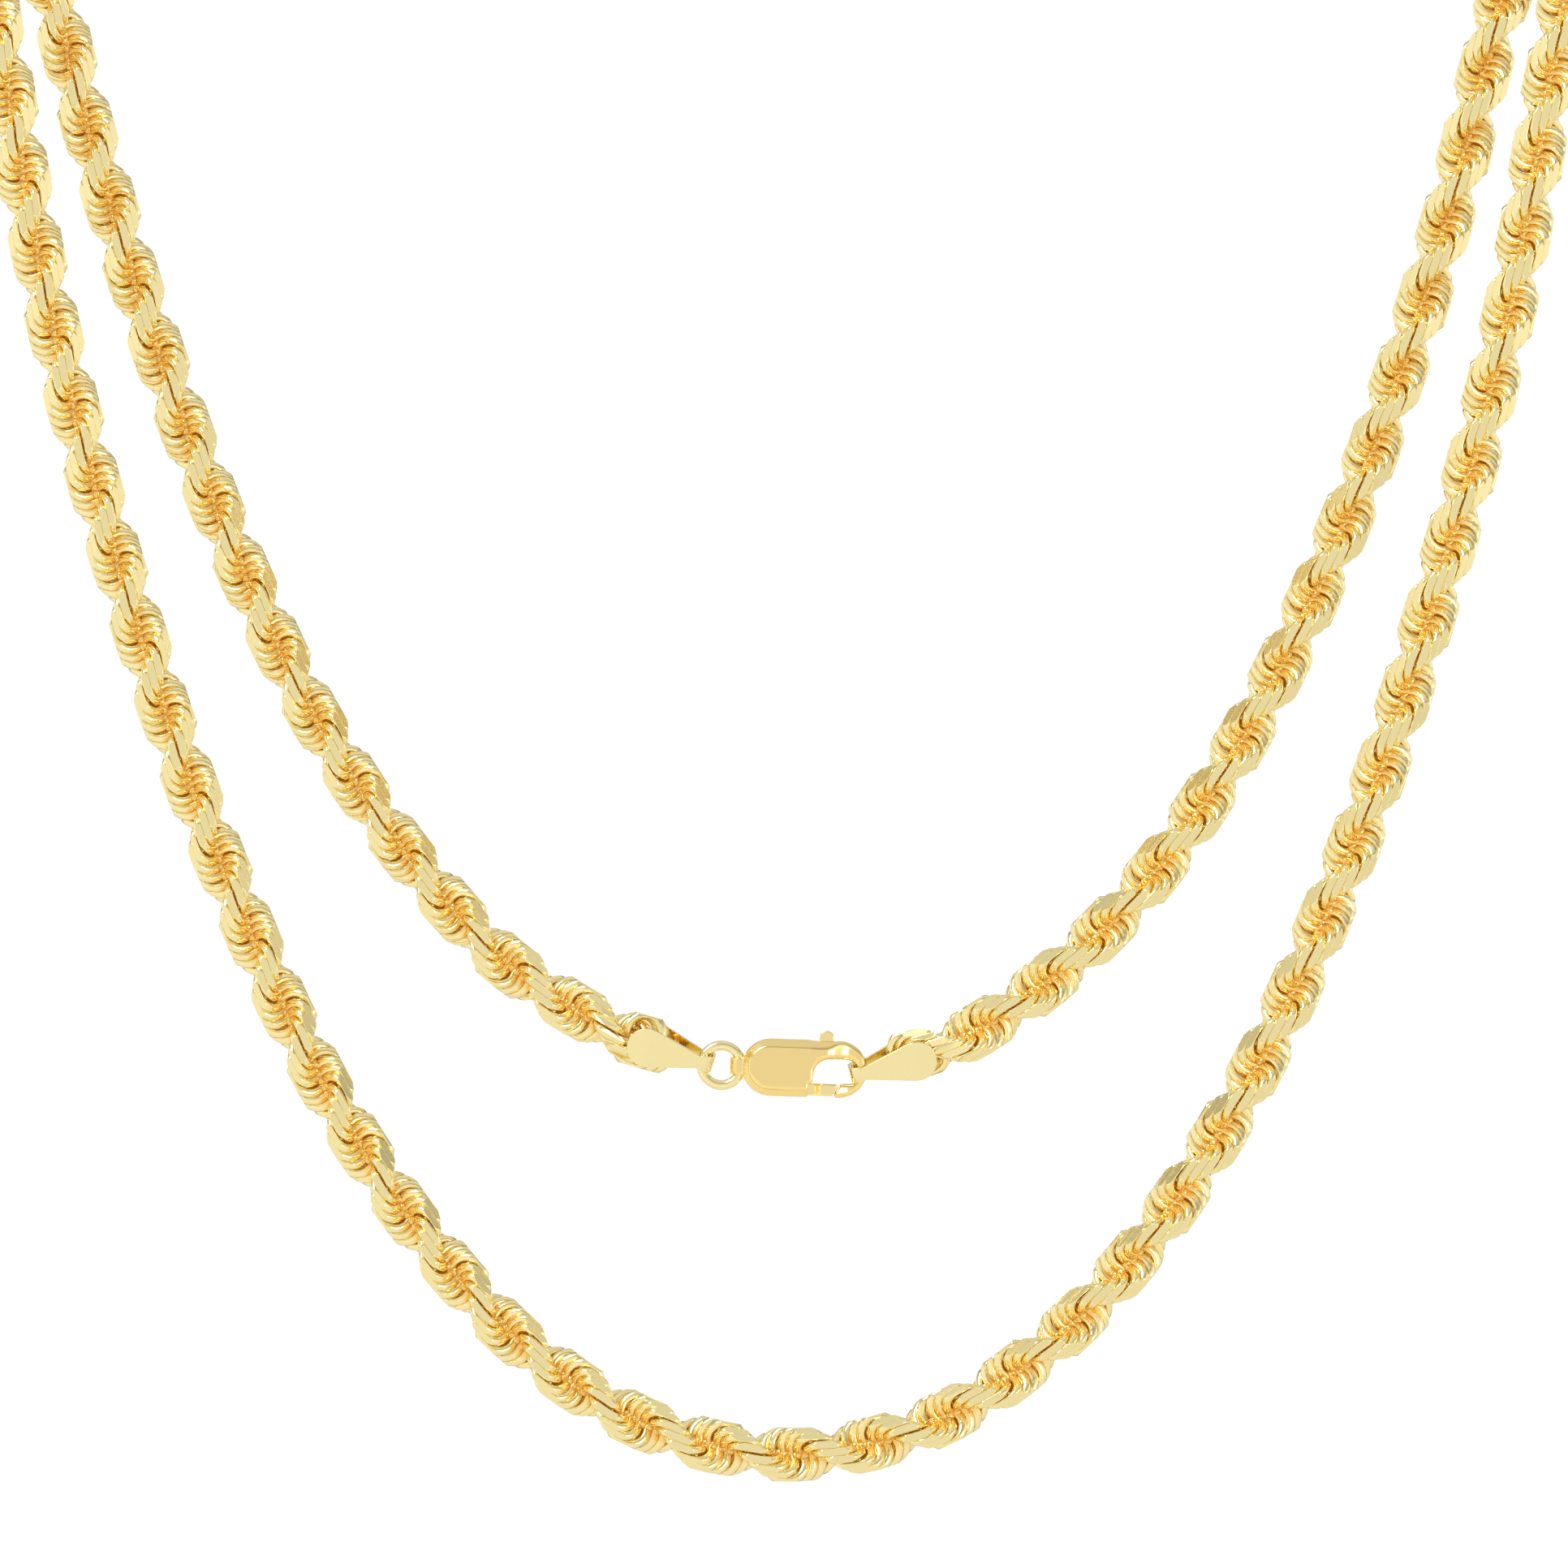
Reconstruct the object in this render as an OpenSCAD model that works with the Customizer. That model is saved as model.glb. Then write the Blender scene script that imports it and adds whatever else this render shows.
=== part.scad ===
// Rope-chain necklace with folded end caps, a jump ring and a lever clasp.
// It hangs doubled from two holders. Millimetres, +Z up, the clasp in the rear loop.

/* [Rope chain] */
// Outer diameter of the twisted chain
rope_d = 3.9; // [3:0.1:5]
// Number of flat sides of the chain's envelope
rope_sides = 10; // [8:1:12]
// Distance from the front loop's centre plane to the rear loop's
loop_spacing = 6.2; // [5.6:0.1:9]

/* [End caps] */
// Diameter of the round plates that grip the chain's last links
cap_head_d = 2.8; // [2.4:0.1:3.4]
// Distance from a plate's centre to the far side of the fold
cap_length = 4.75; // [4.5:0.05:6]
// Width of the strap where it is narrowest
cap_neck_w = 0.9; // [0.7:0.05:1.1]
// Width of the strap round the fold
cap_band_w = 1.1; // [0.9:0.05:1.3]
// Thickness of the strap
cap_strap = 0.25; // [0.2:0.05:0.35]
// Inner distance between the two plates
cap_head_gap = 2.3; // [2:0.1:2.8]
// Inner width of the fold that the ring or hook passes through
cap_fold_gap = 1.5; // [1.5:0.1:1.9]
// How far each cap is turned about its own length, in degrees
cap_turn = 15; // [0:1:18]
// Downward slope of the left cap towards the clasp, in degrees
left_cap_slope = 17; // [0:0.5:25]
// Downward slope of the right cap towards the clasp, in degrees
right_cap_slope = 15; // [0:0.5:25]

/* [Jump ring] */
// Outer diameter of the ring
ring_d = 3.46; // [3.4:0.02:4]
// Diameter of the ring's wire
ring_wire = 0.7; // [0.55:0.05:0.75]

/* [Clasp body] */
// Length of the body without its eye
clasp_length = 8.75; // [8.4:0.05:9.6]
// Height of the body
clasp_height = 4; // [3.8:0.05:4.4]
// Thickness of the body
clasp_depth = 2.4; // [2.2:0.1:3]
// Thickness of the hook's far end
hook_end_depth = 0.9; // [0.7:0.05:0.95]
// Width of the hook's wire at its far end
hook_end_w = 0.75; // [0.7:0.05:0.85]
// Height of the hook's top bar
hook_bar_h = 1.32; // [1.1:0.02:1.5]
// Height of the space inside the hook
hook_gap_h = 1.65; // [1.5:0.05:1.75]
// Length of the space inside the hook
hook_gap_length = 3; // [2.7:0.05:3.1]
// Height of the edge slopes on the body's top and bottom
clasp_bevel_h = 0.55; // [0.3:0.05:0.7]
// Depth of the edge slopes
clasp_bevel_depth = 0.5; // [0.3:0.05:0.6]
// Downward slope of the clasp to the right, in degrees
clasp_slope = 2; // [0:0.5:8]
// Bore of the eye that holds the jump ring
eye_bore_d = 1; // [0.98:0.02:1.1]
// Wall of the eye
eye_wall = 0.22; // [0.18:0.02:0.3]
// Height of the eye
eye_height = 1.2; // [1:0.05:1.4]

/* [Clasp lever] */
// Thickness of the lever
lever_t = 0.9; // [0.7:0.05:1]
// Height of the gate that closes the hook
gate_h = 0.85; // [0.6:0.05:0.85]
// Thickness of the gate outside the body
gate_depth = 1.5; // [1.2:0.1:1.8]
// Diameter of the round thumb knob
knob_d = 1.04; // [0.8:0.02:1.2]
// How far the knob's centre stands above the body's top
knob_rise = 0.14; // [0.1:0.02:0.3]
// Width of the arm that carries the knob
thumb_arm_w = 0.6; // [0.5:0.05:0.7]
// Diameter of the hinge pin
pin_d = 0.6; // [0.4:0.05:0.7]
// Angle that the lever opens, in degrees
lever_travel = 25; // [15:1:25]

/* [Hidden] */
$fn = 96;

gold = "goldenrod";
gold_light = "khaki";
eps = 0.01;

// Clearances: between touching pieces, inside the right cap's fold, round the turning lever,
// in bores and in slots
seat_gap = 0.05;
hook_gap = 0.08;
swing_gap = 0.12;
pin_gap = 0.02;
bore_gap = 0.04;
side_gap = 0.05;

// Planes of the two loops
front_y = -loop_spacing / 2;
rear_y = loop_spacing / 2;

// Left end of the clasp body in the rear loop's plane
clasp_x = -2.6;
clasp_z = -75.7;

// Clasp outline in its own frame: u runs along the body from its left end, v upwards
body_r = clasp_height / 2;
gap_u1 = clasp_length - hook_end_w;
gap_u0 = gap_u1 - hook_gap_length;
gap_v1 = body_r - hook_bar_h;
gap_v0 = gap_v1 - hook_gap_h;
gap_corner_in = 1.1;
gap_corner_out = 0.6;
gap_corner_low = 0.2;

// Gate, which closes the hook below the space, and the slanted seam at its tip
gate_v1 = gap_v0 - 0.06;
gate_v0 = gate_v1 - gate_h;
gate_root_u = gap_u0 - 0.35;
gate_wide_u = gap_u0 + 0.1;
gate_full_u = gap_u0 + 0.6;
seam_u = gap_u0 + 1.55;
seam_lean = 0.42;
seam_gap = 0.06;

// Hinge of the lever
pivot_u = gap_u0 - 0.9;
pivot_v = gate_v1 - 0.02;
boss_r = 0.6;
slot_w = lever_t + 2 * side_gap;
knob_u = gap_u0 + 0.86;
knob_v = body_r + knob_rise;
knob_reach = norm([knob_u - pivot_u, knob_v - pivot_v]);
knob_angle = atan2(knob_v - pivot_v, knob_u - pivot_u);
pin_length = clasp_depth - 0.5;

// Eye at the body's left end
ring_r = (ring_d - ring_wire) / 2;
eye_r = eye_bore_d / 2 + eye_wall;
eye_set_out = 0.85;
eye_u = eye_r - eye_set_out;
// Distance from the ring's centre to a wall of height h that lies inside the ring's curve
function ring_seat(h) = sqrt(pow(ring_d / 2 - ring_wire, 2) - h * h / 4) - seat_gap;

// Places in the rear loop's plane, as [x, z]
function along(slope, d) = [d * cos(slope), -d * sin(slope)];
function clasp_at(u, v) =
    [clasp_x, clasp_z] + along(clasp_slope, u) + v * [sin(clasp_slope), cos(clasp_slope)];
ring_at = clasp_at(eye_u - eye_bore_d / 2 - ring_seat(eye_height), 0);
left_fold_at = ring_at - along(left_cap_slope, ring_seat(cap_band_w) - cap_strap);
left_head_at = left_fold_at - along(left_cap_slope, cap_length);
fold_lean = cap_band_w / 2 * tan(right_cap_slope + clasp_slope);
right_fold_at = clasp_at(gap_u1, (gap_v0 + gap_v1) / 2)
    - along(-right_cap_slope, fold_lean + hook_gap + cap_strap);
right_head_at = right_fold_at + along(-right_cap_slope, cap_length);

// Between a cap's plates the chain narrows to its last links; elsewhere an extra ring of points
// goes mid span where the curve bows out further than bow_limit
bow_limit = 0.2;
rope_end_d = cap_head_gap - 0.3;
rope_end_in = 0.3;
rope_grip_out = cap_head_d / 2 + 0.3;

// Strap of an end cap, seen from its edge: inner corner radius of the fold and where it starts
fold_corner = 0.35;
strap_neck_u = cap_length - cap_fold_gap / 2 - cap_strap;
arc_steps = 12;

function rear(p) = [p[0], rear_y, p[1]];
function left_end(d) = rear(left_head_at + along(left_cap_slope, d));
function right_end(d) = rear(right_head_at - along(-right_cap_slope, d));

// Route of the chain, by hand: down from the left crown to the clasp's left end and back,
// round the front loop, and over the right crown to the clasp's right end
crown_z = rope_d / 2;
rear_left = [[-13.6, -72.1], [-19.2, -68.3], [-23.9, -63.4], [-31.7, -52.4],
             [-37.7, -40.3], [-42.6, -27.7], [-46.8, -14.8], [-49.4, -5.6], [-50.4, -1.7]];
front_loop = [[-54.5, -1.7], [-53.8, -5.6], [-50.2, -24.5], [-44.9, -43.6], [-38.3, -62.3],
              [-29.6, -80.1], [-23.9, -88.2], [-17.1, -95.4], [-8.8, -100.6], [0.9, -102.5],
              [10.4, -100.4], [18.6, -95], [25.4, -87.8], [30.9, -79.6], [39.3, -61.6],
              [45.5, -42.8], [50.5, -23.6], [53.7, -5.6], [54.4, -1.7]];
rear_right = [[50.3, -1.7], [49.3, -5.6], [47, -14.9], [43.1, -27.8], [38.3, -40.5], [32.4, -52.7],
              [26.9, -61.2], [22.5, -66.3], [17.5, -70.7], [14.6, -72.7]];
crown_x = 53.3;
shoulder_in_x = 51.6;
shoulder_out_x = 54.6;
shoulder_y = 0.7 * rear_y;
shoulder_drop = 1.05;
shoulder_z = crown_z - shoulder_drop;

route = concat(
    [left_end(rope_end_in), left_end(-rope_grip_out)],
    [for (p = rear_left) [p[0], rear_y, p[1]]],
    [[-shoulder_in_x, shoulder_y, shoulder_z], [-crown_x, 0, crown_z],
     [-shoulder_out_x, -shoulder_y, shoulder_z]],
    [for (p = front_loop) [p[0], front_y, p[1]]],
    [[shoulder_out_x, -shoulder_y, shoulder_z], [crown_x, 0, crown_z],
     [shoulder_in_x, shoulder_y, shoulder_z]],
    [for (p = rear_right) [p[0], rear_y, p[1]]],
    [right_end(-rope_grip_out), right_end(rope_end_in)]);
last = len(route) - 1;

// Smooth curve through the route: a slope at each point, then a cubic over each span
function span(i) = norm(route[i + 1] - route[i]);
function inner_slope(i) =
    let (a = span(i - 1), b = span(i))
    ((route[i] - route[i - 1]) * b / a + (route[i + 1] - route[i]) * a / b) / (a + b);
function slope(i) =
    i == 0 ? (route[1] - route[0]) / span(0) :
    i == last ? (route[last] - route[last - 1]) / span(last - 1) : inner_slope(i);
function mid(i) = (route[i] + route[i + 1]) / 2 + (slope(i) - slope(i + 1)) * span(i) / 8;

// Centres of the rings of points that make the chain's outside
function bow(i) = norm(mid(i) - (route[i] + route[i + 1]) / 2);
centres = concat([for (i = [0:last - 1]) each bow(i) > bow_limit ? [route[i], mid(i)] : [route[i]]],
                 [route[last]]);
count = len(centres);
function ring_radius(i) =
    i <= 1 || i >= count - 2 ? rope_end_d / 2 : rope_d / 2;
function unit(v) = v / norm(v);
function heading(i) =
    i == 0 ? unit(centres[1] - centres[0]) :
    i == count - 1 ? unit(centres[i] - centres[i - 1]) :
    unit(unit(centres[i + 1] - centres[i]) + unit(centres[i] - centres[i - 1]));
function turned(n, i) = unit(n - (n * heading(i)) * heading(i));
normals = [for (i = 0, n = turned([0, 1, 0], 0); i < count;
               i = i + 1, n = i < count ? turned(n, i) : n) n];

module rope_chain() {
    points = [for (i = [0:count - 1], k = [0:rope_sides - 1])
        let (a = 360 * k / rope_sides, n = normals[i], b = cross(heading(i), n))
        centres[i] + ring_radius(i) * (cos(a) * n + sin(a) * b)];
    sides = [for (i = [0:count - 2], k = [0:rope_sides - 1])
        let (a = i * rope_sides + k, b = i * rope_sides + (k + 1) % rope_sides)
        each [[a, a + rope_sides, b + rope_sides], [a, b + rope_sides, b]]];
    first_cap = [for (k = [0:rope_sides - 1]) k];
    last_cap = [for (k = [rope_sides - 1:-1:0]) (count - 1) * rope_sides + k];
    color(gold) polyhedron(points, concat([first_cap], sides, [last_cap]));
}

// Points of an arc round c, from one angle to another
function arc(c, r, from, to) =
    [for (i = [0:arc_steps]) let (a = from + (to - from) * i / arc_steps) c + r * [cos(a), sin(a)]];

// Strap seen from its edge: two plates that close towards a folded end
module strap_edge(grow) {
    head_half = cap_head_gap / 2 + grow;
    fold_half = cap_fold_gap / 2 + grow;
    r = fold_corner + grow;
    end_u = cap_length - cap_strap + grow;
    polygon(concat([[-cap_head_d, -head_half], [0, -head_half], [strap_neck_u, -fold_half]],
                   arc([end_u - r, r - fold_half], r, -90, 0), arc([end_u - r, fold_half - r], r, 0, 90),
                   [[strap_neck_u, fold_half], [0, head_half], [-cap_head_d, head_half]]));
}

// Strap seen from its face: round plate, tapering neck and the band round the fold
module strap_face() {
    head_r = cap_head_d / 2;
    lean = asin((head_r - cap_neck_w / 2) / strap_neck_u);
    band_u = strap_neck_u + 0.15;
    over_u = cap_length + eps;
    polygon(concat([[strap_neck_u, cap_neck_w / 2]], arc([0, 0], head_r, 90 - lean, 270 + lean),
                   [[strap_neck_u, -cap_neck_w / 2], [band_u, -cap_band_w / 2], [over_u, -cap_band_w / 2],
                    [over_u, cap_band_w / 2], [band_u, cap_band_w / 2]]));
}

// End cap with its plates' centre at the origin and its fold towards +X
module end_cap() {
    intersection() {
        linear_extrude(2 * cap_head_d, center = true)
            difference() {
                strap_edge(cap_strap);
                strap_edge(0);
            }
        rotate([90, 0, 0]) linear_extrude(2 * cap_head_d, center = true) strap_face();
    }
}

module end_cap_left() {
    color(gold_light) translate(rear(left_head_at))
        rotate([0, left_cap_slope, 0]) rotate([cap_turn, 0, 0]) end_cap();
}

module end_cap_right() {
    color(gold_light) translate(rear(right_head_at))
        rotate([0, 180 - right_cap_slope, 0]) rotate([-cap_turn, 0, 0]) end_cap();
}

module jump_ring() {
    color(gold) translate(rear(ring_at)) rotate([90, 0, 0])
        rotate_extrude() translate([ring_r, 0]) circle(d = ring_wire, $fn = 32);
}

// Puts a shape from the clasp's own frame into place
module in_clasp() {
    translate(rear([clasp_x, clasp_z])) rotate([0, clasp_slope, 0]) children();
}

// Extrudes an outline of the clasp's face through a depth, centred on its middle plane
module through(depth) {
    rotate([90, 0, 0]) linear_extrude(depth, center = true) children();
}

// Outside of the body: straight along its middle, round at both ends, with a bevel round both faces
module bevelled_body() {
    cheek = clasp_depth / 2;
    edge = cheek - clasp_bevel_depth;
    rim_r = body_r - clasp_bevel_h;
    for (u = [body_r, clasp_length - body_r])
        translate([u, 0, 0]) rotate([90, 0, 0]) rotate_extrude()
            polygon([[0, -cheek], [rim_r, -cheek], [body_r, -edge], [body_r, edge],
                     [rim_r, cheek], [0, cheek]]);
    translate([body_r, 0, 0]) rotate([90, 0, 90]) linear_extrude(clasp_length - 2 * body_r)
        polygon([[-cheek, -rim_r], [-edge, -body_r], [edge, -body_r], [cheek, -rim_r],
                 [cheek, rim_r], [edge, body_r], [-edge, body_r], [-cheek, rim_r]]);
}

// Space inside the hook, with its own radius at each corner and a square one by the gate
module hook_space() {
    polygon(concat([[gap_u0, gap_v0]],
                   arc([gap_u0 + gap_corner_in, gap_v1 - gap_corner_in], gap_corner_in, 180, 90),
                   arc([gap_u1 - gap_corner_out, gap_v1 - gap_corner_out], gap_corner_out, 90, 0),
                   arc([gap_u1 - gap_corner_low, gap_v0 + gap_corner_low], gap_corner_low, 0, -90)));
}

// Slanted line of the seam at height v, moved right by a gap
function seam_at(v, gap) = [seam_u + gap + seam_lean * (v - (gate_v0 + gate_v1) / 2), v];

// Space that the gate fills, out through the body's bottom
module gate_space() {
    low_v = -body_r - 0.2;
    polygon([[gate_root_u, low_v], [gate_root_u, gap_v0 - 0.04], [gap_u0, gap_v0 - 0.04],
             [gap_u0, gap_v0 + eps], seam_at(gap_v0 + eps, seam_gap), seam_at(low_v, seam_gap)]);
}

// Point p turned about the origin by an angle
function turn(p, angle) = [p[0] * cos(angle) - p[1] * sin(angle), p[0] * sin(angle) + p[1] * cos(angle)];

// Slot in the body's middle plane that the lever swings in
module lever_space() {
    reach = knob_reach + knob_d;
    half = thumb_arm_w / 2 + swing_gap;
    knob_half = knob_d / 2 + swing_gap;
    open_angle = knob_angle + lever_travel;
    translate([pivot_u, pivot_v]) {
        circle(boss_r + swing_gap);
        polygon([turn([0, -half], knob_angle), turn([knob_reach - knob_half, -knob_half], knob_angle),
                 turn([reach, -knob_half], knob_angle), turn([reach, knob_half], open_angle),
                 turn([0, half], open_angle)]);
    }
    polygon([[pivot_u, gate_v0 - swing_gap], [gate_root_u + eps, gate_v0 - swing_gap],
             [gap_u0 + eps, gate_v1],
             [gap_u0 + eps, pivot_v + (gap_u0 - pivot_u) * tan(lever_travel) + swing_gap],
             [pivot_u, pivot_v + boss_r]]);
}

module clasp_body() {
    cheek = clasp_depth / 2;
    taper_u = gap_u0 + 0.7;
    thin_u = gap_u1 - 0.35;
    taper = [for (i = [0:arc_steps]) let (t = i / arc_steps)
        [taper_u + (thin_u - taper_u) * t, cheek - (cheek - hook_end_depth / 2) * t * t * (3 - 2 * t)]];
    over_u = clasp_length + eps;
    color(gold_light) in_clasp() difference() {
        union() {
            intersection() {
                difference() {
                    bevelled_body();
                    through(clasp_height) {
                        hook_space();
                        gate_space();
                    }
                }
                linear_extrude(2 * clasp_height, center = true)
                    polygon(concat([[-eps, -cheek]], [for (p = taper) [p[0], -p[1]]],
                                   [[over_u, -hook_end_depth / 2], [over_u, hook_end_depth / 2]],
                                   [for (i = [arc_steps:-1:0]) taper[i]], [[-eps, cheek]]));
            }
            translate([eye_u, 0, 0]) cylinder(h = eye_height, r = eye_r, center = true);
        }
        translate([eye_u, 0, 0]) cylinder(h = clasp_height, d = eye_bore_d, center = true);
        through(slot_w) lever_space();
        translate([pivot_u, 0, pivot_v]) rotate([90, 0, 0])
            cylinder(h = pin_length + 2 * pin_gap, d = pin_d + 2 * pin_gap, center = true);
    }
}

module clasp_lever() {
    color(gold) in_clasp() difference() {
        union() {
            through(lever_t) {
                translate([pivot_u, pivot_v]) circle(boss_r);
                translate([pivot_u, pivot_v]) rotate(knob_angle) translate([0, -thumb_arm_w / 2])
                    square([knob_reach, thumb_arm_w]);
                translate([knob_u, knob_v]) circle(d = knob_d);
                polygon([[pivot_u, gate_v0], [pivot_u, gate_v1], seam_at(gate_v1, 0),
                         seam_at(gate_v0, 0)]);
            }
            intersection() {
                through(gate_depth)
                    polygon([[gate_wide_u, gate_v0], [gate_wide_u, gate_v1], seam_at(gate_v1, 0),
                             seam_at(gate_v0, 0)]);
                linear_extrude(2 * clasp_height, center = true)
                    polygon([[gate_wide_u, eps - lever_t / 2], [gate_full_u, -gate_depth / 2],
                             [clasp_length, -gate_depth / 2], [clasp_length, gate_depth / 2],
                             [gate_full_u, gate_depth / 2], [gate_wide_u, lever_t / 2 - eps]]);
            }
        }
        translate([pivot_u, 0, pivot_v]) rotate([90, 0, 0])
            cylinder(h = clasp_depth, d = pin_d + 2 * bore_gap, center = true);
    }
}

module lever_pin() {
    color(gold) in_clasp() translate([pivot_u, 0, pivot_v]) rotate([90, 0, 0])
        cylinder(h = pin_length, d = pin_d, center = true);
}

rope_chain();
end_cap_left();
end_cap_right();
jump_ring();
clasp_body();
clasp_lever();
lever_pin();
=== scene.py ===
"""Rope chain necklace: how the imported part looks.

Separate links take the place of the chain's plain tube. The clasp and its lever get the worn edges of
tumbled castings, and the end caps get small edge radii. Lengths are in millimetres until they reach a
mesh, except in the studio, which is laid out in metres.
"""
import math

import bmesh
import bpy
from mathutils import Matrix, Vector


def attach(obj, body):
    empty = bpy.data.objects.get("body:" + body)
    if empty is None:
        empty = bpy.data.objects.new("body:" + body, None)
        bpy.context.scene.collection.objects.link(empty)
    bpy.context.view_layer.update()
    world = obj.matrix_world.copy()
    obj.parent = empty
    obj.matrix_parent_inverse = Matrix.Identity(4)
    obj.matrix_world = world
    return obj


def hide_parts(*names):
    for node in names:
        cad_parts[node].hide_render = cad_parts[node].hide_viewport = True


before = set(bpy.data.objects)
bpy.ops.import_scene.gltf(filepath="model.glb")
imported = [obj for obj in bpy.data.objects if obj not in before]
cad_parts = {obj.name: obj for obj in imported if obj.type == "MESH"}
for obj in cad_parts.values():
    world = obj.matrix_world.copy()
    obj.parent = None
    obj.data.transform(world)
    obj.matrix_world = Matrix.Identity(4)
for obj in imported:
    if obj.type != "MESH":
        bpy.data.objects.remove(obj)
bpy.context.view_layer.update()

MM = 0.001

# The hang: the rear loop with the clasp, a turn over each holder, and the front loop.
REAR_Y = 3.1
FRONT_Y = -3.1
TURN_Z = -1.7              # height from which the chain turns over a holder
CAP_LEFT_END = [(-8.82, REAR_Y, -74.18), (-10.73, REAR_Y, -73.6)]
REAR_LEFT = [(-13.6, -72.1), (-19.2, -68.3), (-23.9, -63.4), (-31.7, -52.4), (-37.7, -40.3),
             (-42.6, -27.7), (-46.8, -14.8), (-49.4, -5.6), (-50.4, -1.7)]
TURN_LEFT = [(-51.6, 2.17, 0.9), (-53.3, 0, 1.95), (-54.6, -2.17, 0.9)]
FRONT_LOOP = [(-54.5, -1.7), (-53.8, -5.6), (-50.2, -24.5), (-44.9, -43.6), (-38.3, -62.3),
              (-29.6, -80.1), (-23.9, -88.2), (-17.1, -95.4), (-8.8, -100.6), (0.9, -102.5),
              (10.4, -100.4), (18.6, -95), (25.4, -87.8), (30.9, -79.6), (39.3, -61.6),
              (45.5, -42.8), (50.5, -23.6), (53.7, -5.6), (54.4, -1.7)]
TURN_RIGHT = [(54.6, -2.17, 0.9), (53.3, 0, 1.95), (51.6, 2.17, 0.9)]
REAR_RIGHT = [(50.3, -1.7), (49.3, -5.6), (47, -14.9), (43.1, -27.8), (38.3, -40.5),
              (32.4, -52.7), (26.9, -61.2), (22.5, -66.3), (17.5, -70.7), (14.6, -72.7)]
CAP_RIGHT_END = [(11.14, REAR_Y, -74.58), (9.21, REAR_Y, -75.1)]
CURVE_STEPS = 60           # points of the smooth curve from one point of the hang to the next
PLACE_STEP = 0.1           # between two places that are worked out along the hang

# The rope: open links in threes, every three turned half round and a little on from the last.
TURNS = 40                 # full turns of the rope from cap to cap
SPARE_TURN = 0.02          # share of a turn by which the hang is longer than these
START_TURN = 0.04          # share of a turn from the hang's start to the first three's middle
LINKS_PER_TURN = 36
FIRST_TURN = 90            # degrees: the rope lies broad where a cap's round plates hold it
THREE_TURN = 210           # degrees from one three to the next
LINK_TURN = 20             # degrees from one link of a three to the next
LINK_STEP = 2              # rises from one link of a three to the next, along the rope
LINK_GATHER = 0.08         # share by which three links close up on each other
LINK_BEND = 1.27           # radius of a link, to the middle of its wire
LINK_OUT = 0.60            # how far a link's middle lies off the rope's own middle
LINK_TILT = 4.0            # degrees that a link leans with the twist
LINK_GAP = 110             # degrees left open at the rope's middle
LINK_SIDES = 14            # straight pieces round its bend
WIRE_W = 0.60              # the link's wire, across the link's own plane
WIRE_T = 0.70              # and outwards in it
WIRE_SIDES = 6
CUT = 1.85                 # from the rope's middle to a diamond-cut flat
CUT_STEP = 0.006           # the flats of one three lie this much apart
CUTS_ROUND = 8
PRESSED = 0.54             # share of its thickness that the rope keeps between a cap's plates
PRESSED_TO = 1.9           # pressed that much up to here from its end
PRESSED_FROM = 4.2         # and not at all from here on

# The links' gold. Depths are distances from the rope's middle, as shares of DEPTH_UNIT.
DEPTH_UNIT = 2
PALE_AT = 0.46             # the depth where the gold has its surface colour; deeper in, its base colour is warmer, a painted reflection of gold in gold
DEEP_METAL = 0.9           # how metallic it is deep in: a little less, to lighten the hollows
DEEP_TO = 0.3              # that much up to here
FULL_FROM = 0.8            # and fully metallic from here on
SLOT_GLOW = 0.085          # light from the hollows, for reflections that the renderer leaves out
GLOW_FULL_TO = 0.45        # all of it up to here
GLOW_NONE_FROM = 0.93      # and none from here on
WIRE_ROUGH = 0.13
CUT_ROUGH = 0.12

# The worn edges of the cast parts and the small radii of the stamped ones.
CAP_EDGE = 0.03            # radius of a cap's edges
SHARP_ANGLE = 0.5          # radians between two faces from which their edge is rounded
CLASP_SKIN = 0.055         # facets of the clasp's surface
CLASP_PASSES = 12          # times that it is smoothed
LEVER_SKIN = 0.045
LEVER_PASSES = 8
HOOK_FROM = 2.6            # the clasp's hook lies to the right of this x
HOOK_BLEND = 0.6           # over which its rounder shape starts
HOOK_PASSES = 60           # times that it is smoothed beyond the rest of the clasp

# The studio's glow, as shares of white, and the camera.
FRONT_GLOW = 0.84          # on the camera's side
SIDE_GLOW = 1.02           # beside and behind the necklace
LOW_GLOW = 1.0             # level with the necklace and below it
DIM_GLOW = 0.45            # a darker band, about 30 degrees up
HIGH_GLOW = 0.75           # from about 60 degrees up
SENSOR = 36
CAMERA_AWAY = 1200
FRAME_WIDE = 108.85        # width that the photograph takes in at the necklace


def tone(hex_colour):
    """An sRGB hex colour as the linear values that a shader takes."""
    parts = [int(hex_colour[i:i + 2], 16) / 255 for i in (1, 3, 5)]
    linear = [p / 12.92 if p <= 0.04045 else ((p + 0.055) / 1.055) ** 2.4 for p in parts]
    return (*linear, 1.0)


def grey(level):
    """A grey of this linear level."""
    return (level, level, level, 1)


def piece_from(bm, name):
    """A finished piece from a bmesh, its place in its mesh."""
    mesh = bpy.data.meshes.new(name)
    bm.to_mesh(mesh)
    bm.free()
    piece = bpy.data.objects.new(name, mesh)
    bpy.context.scene.collection.objects.link(piece)
    return piece


# The line that the chain follows.

def hang_points():
    """The hang's points in order, from the left cap round to the right cap."""
    points = [Vector(p) for p in CAP_LEFT_END]
    points += [Vector((x, REAR_Y, z)) for x, z in REAR_LEFT]
    points += [Vector(p) for p in TURN_LEFT]
    points += [Vector((x, FRONT_Y, z)) for x, z in FRONT_LOOP]
    points += [Vector(p) for p in TURN_RIGHT]
    points += [Vector((x, REAR_Y, z)) for x, z in REAR_RIGHT]
    points += [Vector(p) for p in CAP_RIGHT_END]
    return points


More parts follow.
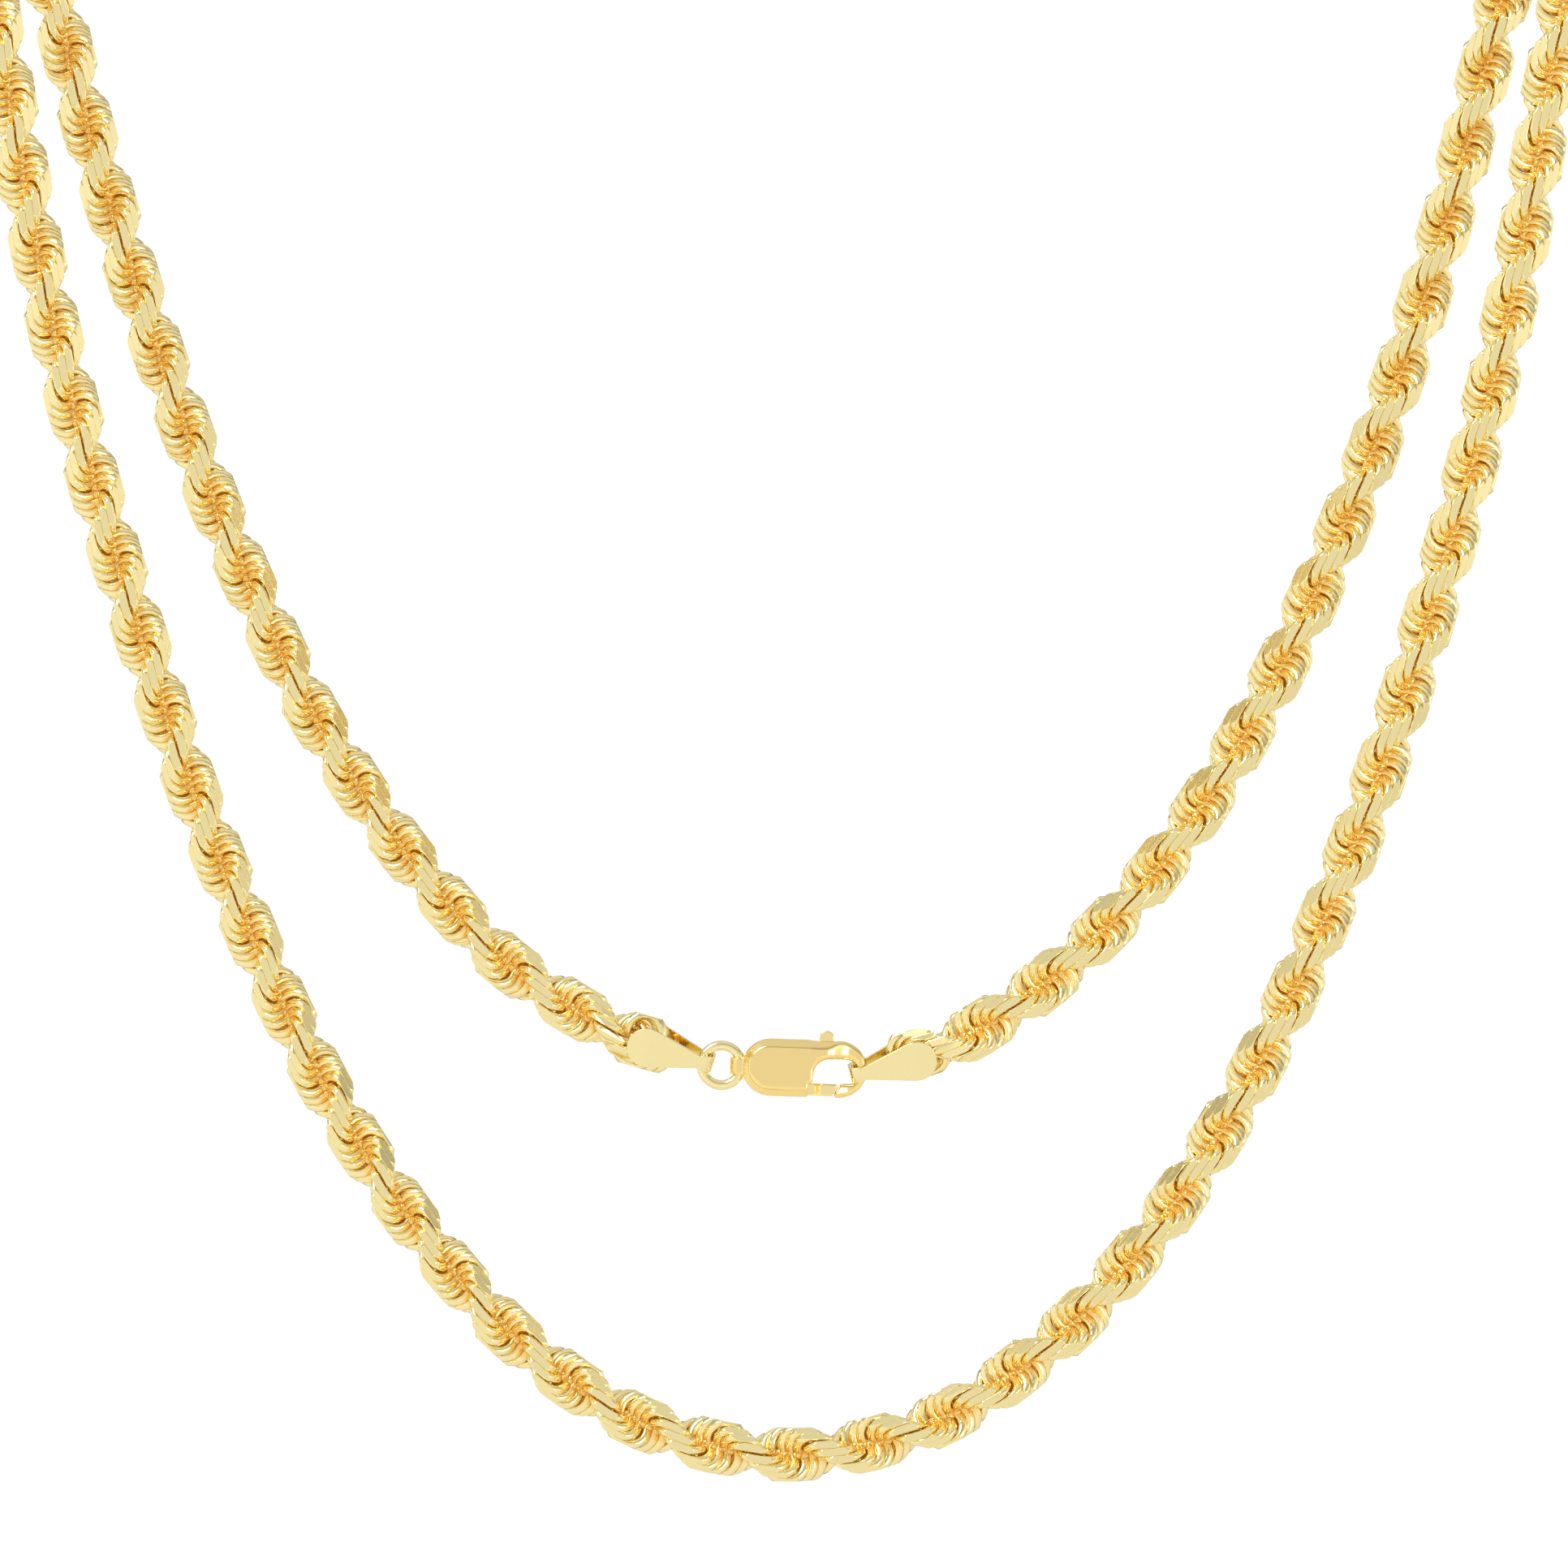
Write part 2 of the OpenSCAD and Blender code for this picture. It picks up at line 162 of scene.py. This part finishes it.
def hang_line(points):
    """Close points along one smooth curve through the hang's points, with the length up to each."""
    chords = [(b - a).length for a, b in zip(points, points[1:])]
    slopes = [(points[1] - points[0]) / chords[0]]
    for i in range(1, len(points) - 1):
        back, on = chords[i - 1], chords[i]
        before = (points[i] - points[i - 1]) / back
        after = (points[i + 1] - points[i]) / on
        slopes.append((before * on + after * back) / (back + on))
    slopes.append((points[-1] - points[-2]) / chords[-1])
    line = []
    for i, chord in enumerate(chords):
        for k in range(CURVE_STEPS):
            t = k / CURVE_STEPS
            line.append(
                points[i] * (2 * t ** 3 - 3 * t ** 2 + 1)
                + points[i + 1] * (3 * t ** 2 - 2 * t ** 3)
                + slopes[i] * chord * (t ** 3 - 2 * t ** 2 + t)
                + slopes[i + 1] * chord * (t ** 3 - t ** 2)
            )
    line.append(points[-1].copy())
    run = [0.0]
    for a, b in zip(line, line[1:]):
        run.append(run[-1] + (b - a).length)
    return line, run


def hang_places(line, run):
    """Place, outward way and side way of the rope, every tenth of a millimetre along the hang.

    Outward is away from the holder: to the front on the front loop, to the back on the rear one.
    """
    places = []
    count = int(run[-1] / PLACE_STEP)
    at = 0
    for k in range(count + 1):
        s = k * PLACE_STEP
        while run[at + 1] < s:
            at += 1
        share = (s - run[at]) / (run[at + 1] - run[at])
        spot = line[at].lerp(line[at + 1], share)
        a, b = max(at - 3, 0), min(at + 4, len(line) - 1)
        along = (line[b] - line[a]).normalized()
        guide = Vector((0, spot.y, max(spot.z - TURN_Z, 0)))
        outward = (guide - along * guide.dot(along)).normalized()
        places.append((spot, outward, along.cross(outward)))
    return places


# The rope's links.

def open_link():
    """One open link: wire of six sides laid round its bend, with the gap at the rope's middle.

    It is made corner by corner, so that its faces come in the same order at each run.
    """
    section = []
    for i in range(WIRE_SIDES):
        way = math.tau * i / WIRE_SIDES
        section.append(Vector((LINK_BEND + WIRE_T / 2 * math.cos(way), WIRE_W / 2 * math.sin(way), 0)))
    bm = bmesh.new()
    round_by = math.radians(360 - LINK_GAP)
    rings = []
    for k in range(LINK_SIDES + 1):
        bend = Matrix.Rotation(round_by * (k / LINK_SIDES - 0.5), 3, "Y")
        rings.append([bm.verts.new(bend @ corner) for corner in section])
    for ring, following in zip(rings, rings[1:]):
        for i in range(WIRE_SIDES):
            j = (i + 1) % WIRE_SIDES
            bm.faces.new((ring[j], ring[i], following[i], following[j]))
    bm.faces.new(rings[0])
    bm.faces.new(rings[-1])
    bmesh.ops.recalc_face_normals(bm, faces=bm.faces)
    mesh = bpy.data.meshes.new("link")
    bm.to_mesh(mesh)
    bm.free()
    return mesh


def diamond_cut(bm, off):
    """Planes all round the rope take the links' outer sides off flat, as the cutting tool does."""
    cut = bm.faces.layers.float["cut"]
    for i in range(CUTS_ROUND):
        way = Vector((math.cos(math.tau * i / CUTS_ROUND), math.sin(math.tau * i / CUTS_ROUND), 0))
        if max(v.co.dot(way) for v in bm.verts) <= off:
            continue
        made = bmesh.ops.bisect_plane(bm, geom=bm.verts[:] + bm.edges[:] + bm.faces[:],
                                      plane_co=way * off, plane_no=way, clear_outer=True)
        rim = [e for e in made["geom_cut"] if isinstance(e, bmesh.types.BMEdge) and e.is_boundary]
        if rim:
            for face in bmesh.ops.edgenet_fill(bm, edges=rim)["faces"]:
                face.smooth = False
                face[cut] = 1.0


def rope_turn(rise):
    """One full turn of the straight rope, 36 links over a length of rise x 36, along its own Z."""
    link_mesh = open_link()
    turn = bmesh.new()
    turn.faces.layers.float.new("cut")
    turn.verts.layers.float.new("depth")
    close = 1 - LINK_GATHER
    for three in range(LINKS_PER_TURN // 3):
        for nth in (-1, 0, 1):
            height = (three * 3 + nth * LINK_STEP * close) * rise
            round_by = FIRST_TURN + three * THREE_TURN + nth * LINK_TURN * close
            place = (
                Matrix.Translation((0, 0, height))
                @ Matrix.Rotation(math.radians(round_by), 4, "Z")
                @ Matrix.Rotation(math.radians(-LINK_TILT), 4, "X")
                @ Matrix.Translation((LINK_OUT, 0, 0))
            )
            one = bmesh.new()
            one.faces.layers.float.new("cut")
            depth = one.verts.layers.float.new("depth")
            one.from_mesh(link_mesh)
            bmesh.ops.transform(one, matrix=place, verts=one.verts)
            for face in one.faces:
                face.smooth = True
            diamond_cut(one, CUT + CUT_STEP * nth)
            for v in one.verts:
                v[depth] = math.hypot(v.co.x, v.co.y) / DEPTH_UNIT
            whole = bpy.data.meshes.new("cut link")
            one.to_mesh(whole)
            one.free()
            turn.from_mesh(whole)
            bpy.data.meshes.remove(whole)
    bpy.data.meshes.remove(link_mesh)
    mesh = bpy.data.meshes.new("turn")
    turn.to_mesh(mesh)
    turn.free()
    return mesh


def pressed(from_end):
    """Share of its thickness that the rope keeps: its last links lie flat between a cap's plates."""
    share = min(max((from_end - PRESSED_TO) / (PRESSED_FROM - PRESSED_TO), 0), 1)
    return PRESSED + (1 - PRESSED) * share * share * (3 - 2 * share)


def laid_rope(name, turn_mesh, turn_length, first, last, places):
    """The rope's turns from first up to last, laid along the hang."""
    bm = bmesh.new()
    bm.faces.layers.float.new("cut")
    bm.verts.layers.float.new("depth")
    top = len(places) - 1
    for k in range(first, last):
        before = len(bm.verts)
        bm.from_mesh(turn_mesh)
        bm.verts.ensure_lookup_table()
        for v in bm.verts[before:]:
            s = (v.co.z + (k + START_TURN) * turn_length) / PLACE_STEP
            at = min(max(int(s), 0), top - 1)
            share = s - at
            spot, outward, side = places[at]
            spot2, outward2, side2 = places[at + 1]
            x = v.co.x * pressed(min(s, top - s) * PLACE_STEP)
            y = v.co.y
            a = spot + outward * x + side * y
            b = spot2 + outward2 * x + side2 * y
            v.co = a.lerp(b, share) * MM
    return piece_from(bm, name)


# The cast and the stamped parts.

def cad_copy(cad):
    """A copy of a CAD node's mesh to work on, its doubled points merged."""
    bm = bmesh.new()
    bm.from_mesh(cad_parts[cad].data)
    bmesh.ops.remove_doubles(bm, verts=bm.verts, dist=1e-6)
    return bm


def edged_copy(cad, name):
    """A copy of a folded CAD strap with its sharp edges rounded, in that strap's place."""
    bm = cad_copy(cad)
    bmesh.ops.dissolve_limit(bm, angle_limit=math.radians(0.5), verts=bm.verts, edges=bm.edges)
    sharp = [e for e in bm.edges if len(e.link_faces) == 2 and e.calc_face_angle() > SHARP_ANGLE
             and e.calc_length() > 2 * CAP_EDGE * MM]
    bmesh.ops.bevel(bm, geom=sharp, offset=CAP_EDGE * MM, offset_type="OFFSET", segments=2,
                    profile=0.5, affect="EDGES", material=-1, clamp_overlap=False)
    for face in bm.faces:
        face.smooth = True
    piece = piece_from(bm, name)
    evened = piece.modifiers.new("flat faces stay flat", "WEIGHTED_NORMAL")
    evened.weight = 80
    return piece


def smooth_once(bm, points):
    """Move each of these points half way to the middle of its neighbours."""
    bmesh.ops.smooth_vert(bm, verts=points, factor=0.5, use_axis_x=True, use_axis_y=True,
                          use_axis_z=True)


def tumbled_copy(cad, name, skin, passes, hook_passes=0):
    """A copy of a cast CAD part in that part's place, its edges worn round as tumbling leaves them.

    skin is the size of the facets of its even new surface, and passes says how often that is smoothed.
    The hook, a round bar in truth, takes hook_passes more.
    """
    bm = cad_copy(cad)
    bmesh.ops.scale(bm, verts=bm.verts, vec=(1 / MM, 1 / MM, 1 / MM))
    rough = piece_from(bm, "rough " + name)
    even = rough.modifiers.new("even skin", "REMESH")
    even.mode = "VOXEL"
    even.voxel_size = skin
    bpy.context.view_layer.update()
    cast = rough.evaluated_get(bpy.context.evaluated_depsgraph_get())
    bm = bmesh.new()
    bm.from_mesh(cast.data)
    bpy.data.objects.remove(rough)
    for _ in range(passes):
        smooth_once(bm, bm.verts)
    for k in range(hook_passes):
        worn_from = HOOK_FROM - HOOK_BLEND * k / hook_passes
        smooth_once(bm, [v for v in bm.verts if v.co.x > worn_from])
    bmesh.ops.scale(bm, verts=bm.verts, vec=(MM, MM, MM))
    for face in bm.faces:
        face.smooth = True
    return piece_from(bm, name)


# The golds.

def node(tree, kind, settings=None, **links):
    """One node, with its settings and what feeds its sockets."""
    made = tree.nodes.new(kind)
    for key, value in (settings or {}).items():
        if key in made.inputs and not hasattr(made, key):
            made.inputs[key].default_value = value
        else:
            setattr(made, key, value)
    for key, source in links.items():
        tree.links.new(source, made.inputs[key.replace("_", " ")])
    return made


def gold(name):
    """A metal shader on its own, with the tree to add to."""
    material = bpy.data.materials.new(name)
    material.use_nodes = True
    tree = material.node_tree
    tree.nodes.clear()
    shader = node(tree, "ShaderNodeBsdfPrincipled", {"Metallic": 1.0})
    node(tree, "ShaderNodeOutputMaterial", Surface=shader.outputs["BSDF"])
    return material, tree, shader


def diamond_cut_gold():
    """10 karat yellow gold wire, soldered link to link, then cut flat all round with a diamond tool.

    The cuts are bright and pale, and the wire beside them is a little softer. Deep between the links
    the gold reflects only gold, which turns it orange. The renderer follows a reflection a few times
    only, so the base colour is warmer there, a little less metallic, and the uncut faces give off a
    faint light.
    """
    material, tree, shader = gold("diamond_cut_gold")
    depth = node(tree, "ShaderNodeAttribute", {"attribute_name": "depth"})
    cut = node(tree, "ShaderNodeAttribute", {"attribute_name": "cut"})
    # Painted reflection: the base colour turns orange towards the rope's middle, as gold that reflects
    # only gold would look.
    painted_reflection_ramp = node(tree, "ShaderNodeValToRGB", Fac=depth.outputs["Fac"])
    painted_reflection_ramp.color_ramp.elements[0].color = tone("#EAB238")
    painted_reflection_ramp.color_ramp.elements[1].position = PALE_AT
    painted_reflection_ramp.color_ramp.elements[1].color = tone("#FBEAAC")
    tree.links.new(painted_reflection_ramp.outputs["Color"], shader.inputs["Base Color"])
    metal = node(tree, "ShaderNodeMapRange",
                 {"From Min": DEEP_TO, "From Max": FULL_FROM, "To Min": DEEP_METAL, "To Max": 1.0},
                 Value=depth.outputs["Fac"])
    tree.links.new(metal.outputs["Result"], shader.inputs["Metallic"])
    rough = node(tree, "ShaderNodeMapRange", {"To Min": WIRE_ROUGH, "To Max": CUT_ROUGH},
                 Value=cut.outputs["Fac"])
    tree.links.new(rough.outputs["Result"], shader.inputs["Roughness"])
    slot = node(tree, "ShaderNodeMapRange",
                {"From Min": GLOW_FULL_TO, "From Max": GLOW_NONE_FROM, "To Min": SLOT_GLOW,
                 "To Max": 0.0},
                Value=depth.outputs["Fac"])
    uncut = node(tree, "ShaderNodeMath", {"operation": "SUBTRACT"})
    uncut.inputs[0].default_value = 1.0
    tree.links.new(cut.outputs["Fac"], uncut.inputs[1])
    glow = node(tree, "ShaderNodeMath", {"operation": "MULTIPLY"})
    tree.links.new(slot.outputs["Result"], glow.inputs[0])
    tree.links.new(uncut.outputs["Value"], glow.inputs[1])
    # Painted glow: the uncut faces deep in the rope give off a faint orange light, in place of the
    # reflections between links that the renderer leaves out.
    shader.inputs["Emission Color"].default_value = tone("#D98818")
    tree.links.new(glow.outputs["Value"], shader.inputs["Emission Strength"])
    return material


def polished_gold(name, colour, roughness, grain_mm, bump_um):
    """10 karat yellow gold, cast, stamped or drawn, and then polished on a wheel.

    A clear, warm mirror with the faint unevenness that hand polishing leaves.
    """
    material, tree, shader = gold(name)
    shader.inputs["Base Color"].default_value = tone(colour)
    place = node(tree, "ShaderNodeTexCoord")
    grain = node(tree, "ShaderNodeTexNoise", {"Scale": 1 / (grain_mm * MM), "Detail": 3.0},
                 Vector=place.outputs["Object"])
    rough = node(tree, "ShaderNodeMapRange", {"To Min": roughness * 0.7, "To Max": roughness * 1.4},
                 Value=grain.outputs["Fac"])
    tree.links.new(rough.outputs["Result"], shader.inputs["Roughness"])
    bump = node(tree, "ShaderNodeBump", {"Strength": 0.5, "Distance": bump_um * 1e-6},
                Height=grain.outputs["Fac"])
    tree.links.new(bump.outputs["Normal"], shader.inputs["Normal"])
    return material


# The chain's two halves.

line, run = hang_line(hang_points())
places = hang_places(line, run)
turn_length = run[-1] / (TURNS + SPARE_TURN)
turn_mesh = rope_turn(turn_length / LINKS_PER_TURN)
link_gold = diamond_cut_gold()
half = TURNS // 2
for name, first, last in (("links_left", 0, half), ("links_right", half, TURNS)):
    links = laid_rope(name, turn_mesh, turn_length, first, last, places)
    links.data.materials.append(link_gold)
    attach(links, "necklace")
    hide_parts("rope_chain")
bpy.data.meshes.remove(turn_mesh)

# The caps, the clasp and the parts that join them.

# Folded sheet: a pale, even cream sheen on the plates.
cap_gold = polished_gold("stamped_gold_sheet", "#F8E8AC", 0.10, 1.5, 4)
# Drawn wire: as pale, with a bright line round the ring.
ring_gold = polished_gold("drawn_gold_wire", "#FDEDB2", 0.10, 0.8, 3)
# Casting: a fuller yellow with soft, slightly wavy highlights.
clasp_gold = polished_gold("cast_gold", "#FFE398", 0.12, 2.0, 5)
# The lever's casting: a shade paler than the body, so that its knob stands out from it.
lever_gold = polished_gold("cast_lever_gold", "#FFE9A4", 0.12, 1.2, 4)

cap_left = edged_copy("end_cap_left", "cap_left_strap")
cap_right = edged_copy("end_cap_right", "cap_right_strap")
clasp = tumbled_copy("clasp_body", "clasp_casting", CLASP_SKIN, CLASP_PASSES, HOOK_PASSES)
lever = tumbled_copy("clasp_lever", "clasp_thumb_lever", LEVER_SKIN, LEVER_PASSES)
for cad, piece, finish, body, slot in (
    ("end_cap_left", cap_left, cap_gold, "necklace", "cap_gold"),
    ("end_cap_right", cap_right, cap_gold, "necklace", "cap_gold"),
    ("clasp_body", clasp, clasp_gold, "necklace", "clasp_gold"),
    ("clasp_lever", lever, lever_gold, "lever", "lever_gold"),
):
    piece.data.materials.append(finish)
    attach(piece, body)
    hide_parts(cad)
for cad, finish in (("jump_ring", ring_gold), ("lever_pin", lever_gold)):
    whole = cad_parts[cad]
    whole.data.materials.clear()
    whole.data.materials.append(finish)


# Floor, light and camera, in metres.

def pale_floor():
    """A plain pale round of floor, 0.8 m across and 0.14 m below the frame's origin.

    Matt, so it gives the gold above it an even, pale light and mirrors nothing.
    """
    bm = bmesh.new()
    bmesh.ops.create_circle(bm, cap_ends=True, segments=96, radius=0.4)
    bmesh.ops.translate(bm, verts=bm.verts, vec=(0, 0, -0.14))
    floor = piece_from(bm, "floor")
    material = bpy.data.materials.new("pale_floor")
    material.use_nodes = True
    surface = material.node_tree.nodes["Principled BSDF"]
    surface.inputs["Base Color"].default_value = tone("#F4F3F0")
    surface.inputs["Roughness"].default_value = 0.8
    floor.data.materials.append(material)


def soft_light(name, spot, aim, size, power):
    """A square softbox of this size at a spot, turned to the place that it lights."""
    lamp = bpy.data.lights.new(name, "AREA")
    lamp.size = size
    lamp.energy = power
    holder = bpy.data.objects.new(name, lamp)
    holder.location = spot
    holder.rotation_euler = (Vector(aim) - Vector(spot)).to_track_quat("-Z", "Y").to_euler()
    bpy.context.scene.collection.objects.link(holder)


def studio_world():
    """A pale studio all round: white behind the necklace, a little greyer on the camera's side.

    A dimmer band about 30 degrees up gives the gold something darker to reflect.
    """
    world = bpy.data.worlds.new("studio")
    world.use_nodes = True
    tree = world.node_tree
    tree.nodes.clear()
    way = node(tree, "ShaderNodeTexCoord")
    parts = node(tree, "ShaderNodeSeparateXYZ", Vector=way.outputs["Generated"])
    front = node(tree, "ShaderNodeMapRange",
                 {"interpolation_type": "SMOOTHSTEP", "From Min": -1.0, "From Max": -0.35,
                  "To Min": FRONT_GLOW, "To Max": SIDE_GLOW},
                 Value=parts.outputs["Y"])
    band = node(tree, "ShaderNodeValToRGB", Fac=parts.outputs["Z"])
    band.color_ramp.interpolation = "EASE"
    band.color_ramp.elements[0].position = 0.28
    band.color_ramp.elements[0].color = grey(LOW_GLOW)
    band.color_ramp.elements[1].position = 0.85
    band.color_ramp.elements[1].color = grey(HIGH_GLOW)
    band.color_ramp.elements.new(0.52).color = grey(DIM_GLOW)
    level = node(tree, "ShaderNodeMath", {"operation": "MULTIPLY"})
    tree.links.new(front.outputs["Result"], level.inputs[0])
    tree.links.new(band.outputs["Color"], level.inputs[1])
    glow = node(tree, "ShaderNodeBackground", {"Color": (1, 1, 1, 1)})
    tree.links.new(level.outputs["Value"], glow.inputs["Strength"])
    node(tree, "ShaderNodeOutputWorld", Surface=glow.outputs["Background"])
    bpy.context.scene.world = world


def photo_camera():
    """A camera straight in front with near-parallel view lines, as in the photograph."""
    camera = bpy.data.cameras.new("camera")
    camera.sensor_width = SENSOR
    camera.lens = SENSOR * CAMERA_AWAY / FRAME_WIDE
    camera.clip_start = 0.01
    camera.clip_end = 20
    tripod = bpy.data.objects.new("camera", camera)
    tripod.location = (0.00034, -CAMERA_AWAY * MM, -0.05607)
    tripod.rotation_euler = (math.pi / 2, 0, 0)
    bpy.context.scene.collection.objects.link(tripod)
    bpy.context.scene.camera = tripod


pale_floor()
studio_world()
soft_light("top_left_softbox", (-0.35, -0.35, 0.45), (0, 0, -0.05), 0.35, 2.4)
soft_light("low_right_softbox", (0.4, -0.45, -0.1), (0, 0, -0.06), 0.25, 0.5)
photo_camera()
bpy.context.scene.view_settings.view_transform = "Standard"
bpy.context.scene.view_settings.look = "None"
